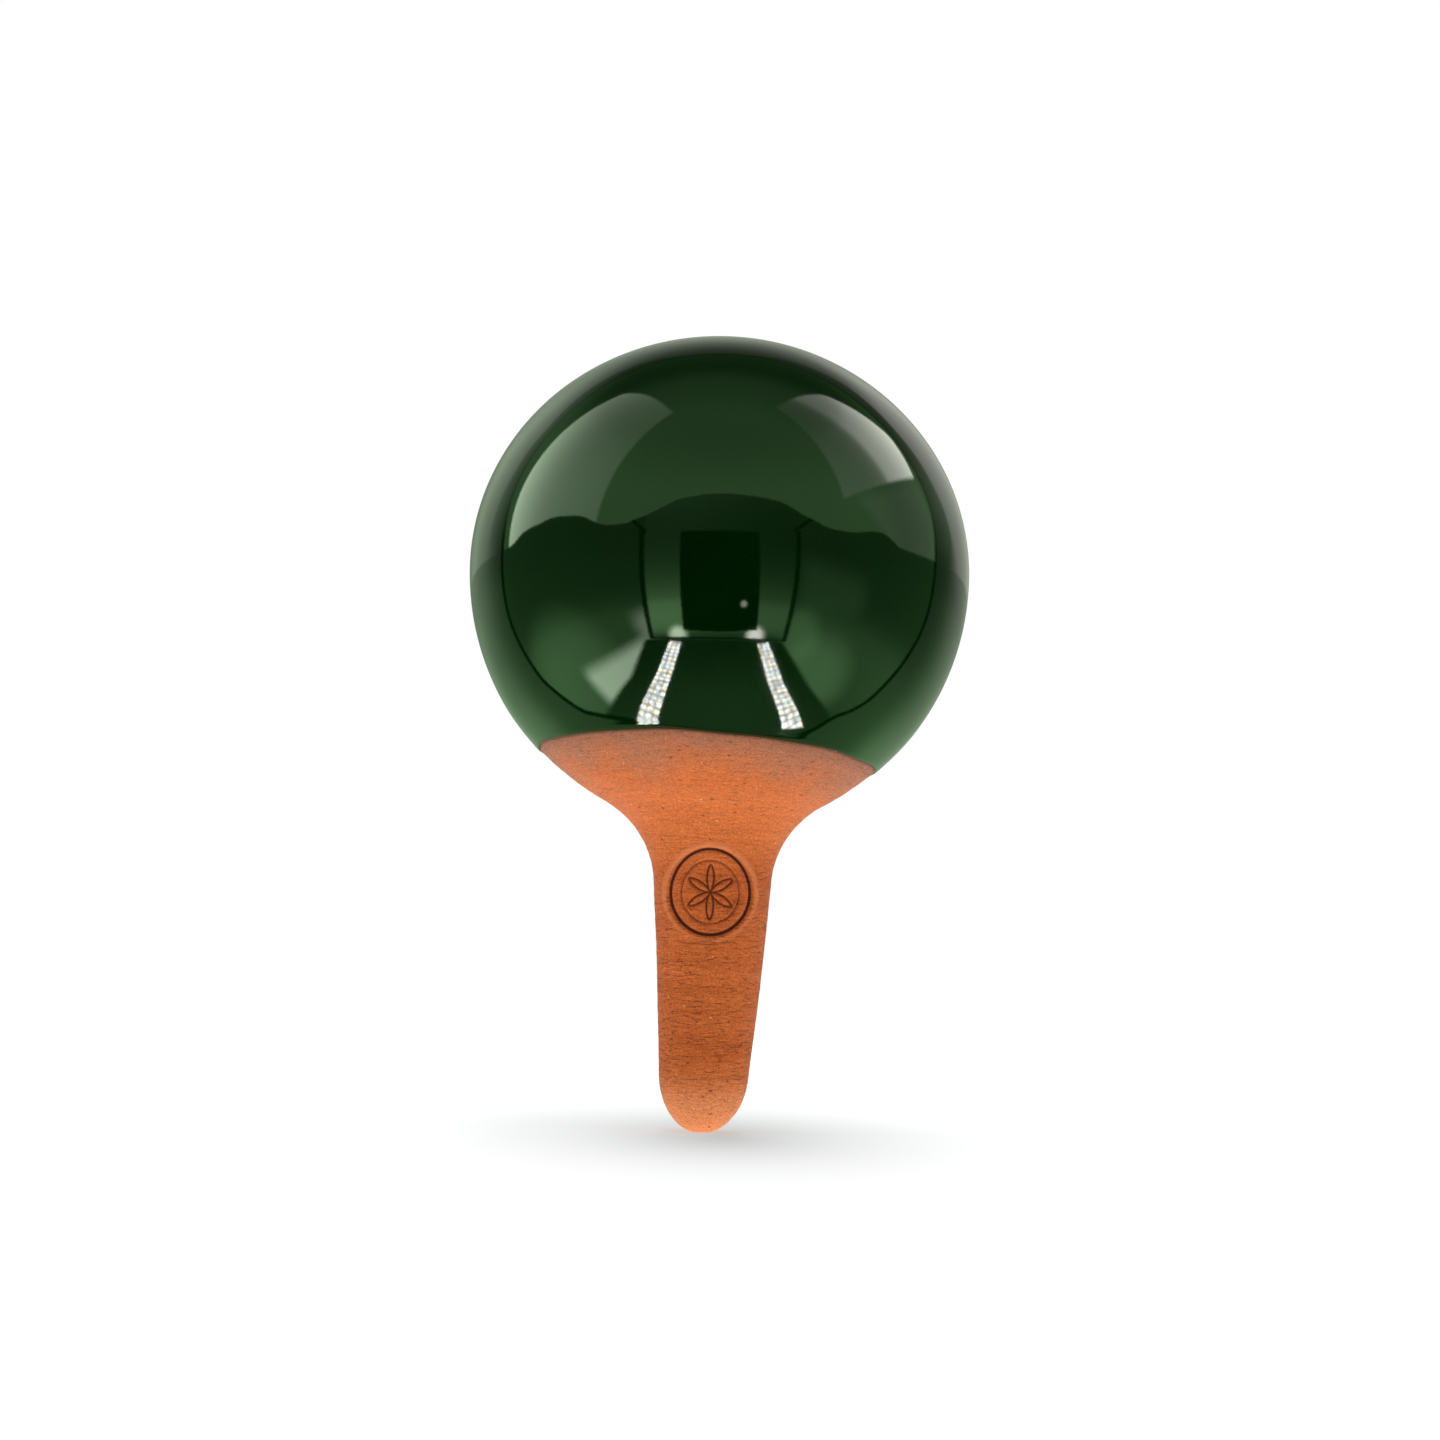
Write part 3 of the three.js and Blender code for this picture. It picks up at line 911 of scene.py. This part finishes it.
LEFT_END = ((
    (-111.5, 2), (-113.5, 25), (-119.5, 45), (-122.5, 58), (-112.5, 65.3), (-99, 69.3), (-54, 69.5),
    (-58, 8)), 0.03)
RIGHT_END = (((117.5, 31), (125.5, 41), (126.5, 60), (118, 66), (67, 73), (61, 28)), 0.03)
RIGHT_END_FOOT = (((118, 4), (118, 31), (70, 28), (84, 6)), 0.14, 0.27)
SHINE = (((-82, -37), (-38, -33.5), (-42, -46), (-85, -54)), 0.13, 6.2)
FOLD = (((-32, -22), (-42, -24), (-38, -34), (-32, -35)), 0.16, 2.6)

# Round soft lights: azimuth, elevation, spread in degrees, level and power
WALL_SPOTS = ((41, -30, 16, 1.0, 2.0), (60, -44, 26, 1.4, 2.0), (-87, -38, 30, 0.9, 1.0))
GLINTS = ((-20.5, -33.5, 9.0, 11.0, 12.0), (19.5, -33.0, 9.0, 14.0, 12.0))
FAR_LIGHT = (12.0, -20.0, 2.2, 5.0, 2.0)

# The plate and its two rows of lamps, on a level one unit below: across from its middle, and deep
LEAST_FALL = 0.05
PLATE_SHIFT = 0.03
FOOT_CURVE = 0.22
WALL_FOOT = (-1.46, -1.42)
SEAM_FOOT = (-1.41, -1.37)
PLATE_HEAD = (-1.40, -1.36)
PLATE_FALL = (-0.25, -0.35)
PLATE_LEFT_SIDE = (-1.4, -0.5, 1.0, 0.81)
PLATE_RIGHT_SIDE = 0.82
PLATE_SOFT = 0.04
ROW_MIDDLE = (-1.3, -0.4, 0.55, 0.495)
ROW_HALF_WIDTH = (0.070, 0.080)
ROW_HEAD = (-1.28, -1.26)
ROW_END = (-0.42, -0.40)
ROW_END_SLANT = 0.62
ROW_END_SHIFT = 0.07
ROW_FALL = (-0.2, -0.3)
BEADS_DEEP = 48.0
BEADS_ACROSS = 56.0
BEAD_LEVELS = (0.0, 0.7, 10.0, 25.0)
LAMP_NOISE = (26.0, 1.0)
LAMP_LEVELS = (0.6, 1.3)
WARMTH_NOISE = (24.0, 2.0)
WARMTH_EDGE = (0.38, 0.62)

# Tints of what is mirrored, and where they change: about the middle, across both sides, and with height
SHEET_TINT = (0.46, 1.0, 0.41)
LEFT_TINT = colour(0.80, 1.0, 0.74)
RIGHT_TINT = colour(0.99, 1.0, 0.90)
COOL_TINT = colour(0.85, 0.97, 1.04)
WARM_TINT = colour(1.04, 0.95, 0.74)
MIDDLE = (-0.1, 0.1)
BOTH_SIDES = (-0.5, 0.5)
PALER_BY_HEIGHT = (-0.6, 0.5)
PALER_BY_EDGE = (0.0, 1.0, 0.6, 1.0)


def add_floor():
    """Pale floor: matte, with a glow that lights the olla from below though it is no lamp, painted cooler
    near the tip against the clay's warm bounce light, and white to the camera away from its shadow, which the
    camera's white paints deeper.
    """
    level = TIP_HEIGHT * MM
    corners = [(x * FLOOR_REACH, y * FLOOR_REACH, level) for x, y in ((-1, -1), (1, -1), (1, 1), (-1, 1))]
    mesh = bpy.data.meshes.new("floor")
    mesh.from_pydata(corners, [], [(0, 1, 2, 3)])
    material = bpy.data.materials.new("floor")
    tree = Tree(material)
    place = tree.place()
    near = tree.vector("MULTIPLY", tree.vector("ADD", place, FROM_SHADOW), SHADOW_SQUASH)
    from_tip = tree.length(tree.vector("MULTIPLY", place, (1.0, 1.0, 0.0)))
    seen = tree.add("LightPath", {}).outputs["Is Camera Ray"]
    # Painted shadow in the camera's white, deepest at the shadow's middle, and a painted contact shadow at
    # the tip
    shown = tree.times(tree.curve(tree.length(near), FLOOR_WHITE_AND_PAINTED_SHADOW), tree.step(from_tip, *TIP_SHADE))
    # Painted cooler near the tip, to cancel the clay's warm bounce light
    tone = tree.mix(tree.step(from_tip, *BOUNCE_CANCEL_REACH), BOUNCE_CANCEL_COLOUR, FLOOR_COLOUR)
    matte = tree.add("BsdfDiffuse", {"Color": tone})
    # The floor's glow lights the olla from below; the camera sees the white with its painted shadow
    glow = tree.add("Emission", {"Strength": tree.blend(seen, FLOOR_GLOW_LIGHT, shown)})
    both = tree.add("AddShader", {0: matte.outputs[0], 1: glow.outputs[0]})
    tree.add("OutputMaterial", {"Surface": both.outputs[0]})
    mesh.materials.append(material)
    floor = bpy.data.objects.new("floor", mesh)
    bpy.context.collection.objects.link(floor)
    floor.visible_glossy = False


def add_lamp(name, place, aim, width, length, radiance):
    """Soft rectangular lamp of a given brightness, which lights but isn't mirrored; places in millimetres."""
    data = bpy.data.lights.new(name, "AREA")
    data.shape = "RECTANGLE"
    data.size = width * MM
    data.size_y = length * MM
    data.energy = radiance * math.pi * data.size * data.size_y
    lamp = bpy.data.objects.new(name, data)
    bpy.context.collection.objects.link(lamp)
    turn = (Vector(aim) - Vector(place)).to_track_quat("-Z", "Y")
    lamp.matrix_world = Matrix.Translation(Vector(place) * MM) @ turn.to_matrix().to_4x4()
    lamp.visible_camera = False
    lamp.visible_glossy = False


def heading(azimuth, elevation):
    """Unit vector towards an azimuth, in degrees right of the camera's side, and an elevation."""
    turn, rise = math.radians(azimuth), math.radians(elevation)
    return np.array((math.cos(rise) * math.sin(turn), -math.cos(rise) * math.cos(turn), math.sin(rise)))


class Tent(Tree):
    """A photographer's light tent by direction, as the glaze mirrors it."""

    def __init__(self, owner):
        super().__init__(owner)
        self.way = self.add("TexCoord", {}).outputs["Generated"]
        self.x, self.y, self.z = self.add("SeparateXYZ", {0: self.way}).outputs[:]
        self.right_side = self.step(self.x, *MIDDLE)
        self.azimuth = self.math("DEGREES", self.math("ARCTAN2", self.x, self.times(self.y, -1.0)))
        fall = self.larger(self.times(self.z, -1.0), LEAST_FALL)
        self.across = self.math("ABSOLUTE", self.minus(self.math("DIVIDE", self.x, fall), PLATE_SHIFT))
        self.depth = self.math("DIVIDE", self.y, fall)
        over_edge = self.minus(self.z, self.curve(self.azimuth, SHEET_EDGE))
        self.above = self.step(over_edge, -SHEET_SOFT, SHEET_SOFT)
        self.below = self.outside(self.above)
        self.mask_front()
        self.mask_back()

    def patch(self, corners, soft, level=1.0):
        """Soft-edged patch of a level between corners, given as headings in turn."""
        towards = [heading(*corner) for corner in corners]
        middle = sum(towards)
        sides = []
        for first, second in zip(towards, towards[1:] + towards[:1]):
            normal = np.cross(first, second)
            normal /= np.linalg.norm(normal) * math.copysign(1, normal @ middle)
            sides.append(self.step(self.dot(self.way, normal), -soft / 2, soft / 2))
        return self.times(*sides, level)

    def spot(self, azimuth, elevation, spread, level, power):
        """Round soft light about a heading."""
        towards = self.dot(self.way, heading(azimuth, elevation))
        near = self.step(towards, math.cos(math.radians(spread)), 1.0)
        return self.times(self.math("POWER", near, power), level)

    def spots(self, lights):
        return self.plus(*[self.spot(*light) for light in lights])

    def mask_front(self):
        """Front wall with its opening and dark seams, and the plate that carries the lamps."""
        foot = self.minus(self.depth, self.times(self.across, self.across, FOOT_CURVE))
        self.wall = self.times(self.below, self.patch(*FRONT_WALL), self.drop(foot, *WALL_FOOT))
        seam = self.times(self.patch(*FRONT_SEAM), self.drop(foot, *SEAM_FOOT))
        bends = self.plus(self.patch(*LEFT_BEND), self.patch(*RIGHT_BEND))
        seam = self.larger(self.minus(seam, self.wall), 0.0, bends)
        self.seam = self.times(seam, self.below)
        self.opening = self.patch(*OPENING)
        side = self.blend(self.right_side, self.ramp(self.depth, *PLATE_LEFT_SIDE), PLATE_RIGHT_SIDE)
        plate = self.drop(self.minus(self.across, side), -PLATE_SOFT, PLATE_SOFT)
        self.plate = self.times(plate, self.step(foot, *PLATE_HEAD), self.step(self.z, *PLATE_FALL))

    def mask_back(self):
        """Back wall beyond a dark seam, and its outer part, whose edge is sharp higher up."""
        tilt = self.minus(self.step(self.z, *SEAM_TILT_LOW), self.ramp(self.z, *SEAM_TILT_HIGH))
        past = self.minus(self.y, self.curve(self.z, BACK_SEAM))
        past = self.plus(past, self.times(self.x, tilt))
        line = self.times(self.step(past, -SEAM_OUTER, -SEAM_INNER), self.drop(past, SEAM_INNER, SEAM_OUTER))
        self.line = self.times(line, self.step(self.z, *SEAM_STRENGTH))
        self.back = self.step(past, -SEAM_SOFT, SEAM_SOFT)
        past_edge = self.minus(self.math("ABSOLUTE", self.azimuth), self.curve(self.z, PALE_EDGE))
        past_edge = self.minus(past_edge, self.step(self.x, *MIDDLE, -PALE_EDGE_SHIFT, PALE_EDGE_SHIFT))
        width = self.step(self.z, *PALE_EDGE_WIDTH)
        self.outer = self.step(self.math("DIVIDE", past_edge, width), -1.0, 1.0)

    def dim_light(self):
        """Upper sheet, side walls that are paler lower down, plate and front wall."""
        far = self.times(self.step(self.y, *FAR_BY_DEPTH), self.step(self.z, *FAR_BY_HEIGHT))
        sheet = self.times(self.step(self.z, *SHEET_BY_HEIGHT), self.step(self.y, *SHEET_BY_DEPTH))
        sheet = self.times(sheet, self.step(far, 0.0, 1.0, 1.0, FAR_LEVEL))
        dim = self.blend(self.above, self.curve(self.z, WALL_LEVEL), sheet)
        shone = self.plus(self.spots(WALL_SPOTS), self.patch(*RIGHT_GLOW))
        dim = self.plus(dim, self.times(self.below, shone))
        dim = self.blend(self.plate, dim, self.step(self.z, *PLATE_LEVEL))
        front = self.times(self.curve(self.z, FRONT_LEVEL), self.step(self.x, *FRONT_BY_SIDE))
        dim = self.blend(self.wall, dim, front)
        dim = self.blend(self.larger(self.seam, self.opening), dim, 0.0)
        return self.times(dim, self.outside(self.larger(self.back, self.line)))

    def rear_light(self):
        """Back wall, in shade but for its outer part."""
        left = self.step(self.z, *LEFT_SHADE)
        shade = self.blend(self.right_side, left, self.curve(self.z, RIGHT_SHADE))
        shade = self.blend(self.outer, shade, 1.0)
        rear = self.times(self.curve(self.z, BACK_LEVEL), self.step(self.y, *BACK_BY_DEPTH))
        return self.times(rear, self.back, self.outside(self.line), shade)

    def pale_light(self):
        """Light on the back wall, high up on both sides."""
        left = self.times(self.patch(*PALE_LEFT), self.step(self.outer, *PALE_LEFT_BY_EDGE))
        right = self.times(self.patch(*PALE_RIGHT), self.outer)
        return self.times(self.plus(left, right), self.back, self.step(self.above, 0.0, 1.0, *PALE_LEVELS))

    def end_light(self):
        """Lit ends of the sheet, brightest at their outer edges."""
        left = self.times(self.curve(self.y, LEFT_BY_DEPTH), self.curve(self.z, LEFT_BY_HEIGHT))
        right = self.times(self.curve(self.y, RIGHT_BY_DEPTH), self.curve(self.z, RIGHT_BY_HEIGHT))
        both = self.plus(self.times(self.patch(*LEFT_END), left), self.times(self.patch(*RIGHT_END), right))
        ends = self.plus(self.patch(*RIGHT_END_FOOT), both)
        return self.times(self.outside(self.back), ends, self.above)

    def lamp_light(self):
        """Two rows of small lamps of uneven brightness."""
        off_row = self.math("ABSOLUTE", self.minus(self.across, self.ramp(self.depth, *ROW_MIDDLE)))
        end = self.minus(self.depth, self.times(self.across, ROW_END_SLANT))
        end = self.minus(end, self.step(self.x, *MIDDLE, 0.0, ROW_END_SHIFT))
        row = self.times(self.drop(off_row, *ROW_HALF_WIDTH), self.step(self.depth, *ROW_HEAD))
        row = self.times(row, self.drop(end, *ROW_END), self.step(self.z, *ROW_FALL))
        deep = self.math("ABSOLUTE", self.math("SINE", self.times(self.depth, BEADS_DEEP)))
        wide = self.math("ABSOLUTE", self.math("COSINE", self.times(off_row, BEADS_ACROSS)))
        lamps = self.times(row, self.ramp(self.times(deep, wide), *BEAD_LEVELS))
        return self.times(lamps, self.step(self.noise(self.way, *LAMP_NOISE), *MID_NOISE, *LAMP_LEVELS))

    def shine(self):
        """Shine of the lamps on the walls beside them, and one small light far off in the opening."""
        shine = self.plus(self.patch(*SHINE), self.patch(*FOLD))
        shine = self.times(shine, self.outside(self.larger(self.plate, self.wall, self.seam)))
        glints = self.times(self.spots(GLINTS), self.wall, self.outside(self.opening))
        return self.plus(shine, glints, self.spot(*FAR_LIGHT))

    def light(self):
        """All of it: green where little light falls and paler where more does, warmer to the right."""
        paler = self.times(self.ramp(self.z, *PALER_BY_HEIGHT), self.step(self.outer, *PALER_BY_EDGE))
        rear = self.rear_light()
        dim = self.plus(self.dim_light(), self.times(rear, self.outside(paler)))
        lit = self.plus(self.end_light(), self.pale_light(), self.shine(), self.times(rear, paler))
        lit_tint = self.mix(self.step(self.x, *BOTH_SIDES), LEFT_TINT, RIGHT_TINT)
        warmth = self.step(self.noise(self.way, *WARMTH_NOISE), *WARMTH_EDGE)
        lamp_tint = self.mix(warmth, COOL_TINT, WARM_TINT)
        walls = self.vector("ADD", self.scaled(SHEET_TINT, dim), self.scaled(lit_tint, lit))
        return self.vector("ADD", walls, self.scaled(lamp_tint, self.lamp_light()))


def add_surroundings():
    """White to the camera, a light tent to mirrors, and a low even light for all else."""
    world = bpy.data.worlds.new("surroundings")
    tree = Tent(world)
    path = tree.add("LightPath", {})
    mirrored = tree.add("Background", {"Color": tree.light(), "Strength": 1.0})
    even_light = tree.add("Background", {"Color": WHITE, "Strength": AMBIENT})
    backdrop = tree.add("Background", {"Color": WHITE, "Strength": BACKDROP})
    seen = tree.larger(path.outputs["Is Camera Ray"], path.outputs["Is Transmission Ray"])
    lit = tree.add("MixShader", {
        0: path.outputs["Is Glossy Ray"], 1: even_light.outputs[0], 2: mirrored.outputs[0]})
    shown = tree.add("MixShader", {0: seen, 1: lit.outputs[0], 2: backdrop.outputs[0]})
    tree.add("OutputWorld", {"Surface": shown.outputs[0]})
    bpy.context.scene.world = world


def add_camera():
    """Camera in front, a little below the middle, pitched up and rolled as the photograph's was."""
    data = bpy.data.cameras.new("camera")
    data.sensor_width = CAMERA_SENSOR
    data.lens = CAMERA_LENS
    data.clip_start = CAMERA_NEAR
    camera = bpy.data.objects.new("camera", data)
    bpy.context.collection.objects.link(camera)
    forward = Vector((0, math.cos(CAMERA_PITCH), math.sin(CAMERA_PITCH)))
    level_up = Vector((0, -math.sin(CAMERA_PITCH), math.cos(CAMERA_PITCH)))
    level_right = Vector((1, 0, 0))
    right = math.cos(CAMERA_ROLL) * level_right + math.sin(CAMERA_ROLL) * level_up
    up = math.cos(CAMERA_ROLL) * level_up - math.sin(CAMERA_ROLL) * level_right
    axes = Matrix((right, up, -forward)).transposed().to_4x4()
    camera.matrix_world = Matrix.Translation(Vector(CAMERA_PLACE) * MM) @ axes
    bpy.context.scene.camera = camera


build_clay(terracotta())
build_glaze(green_glaze())
build_cork(cork())

add_floor()
for settings in LAMPS:
    add_lamp(*settings)
add_surroundings()
add_camera()

bpy.context.scene.view_settings.view_transform = "Standard"
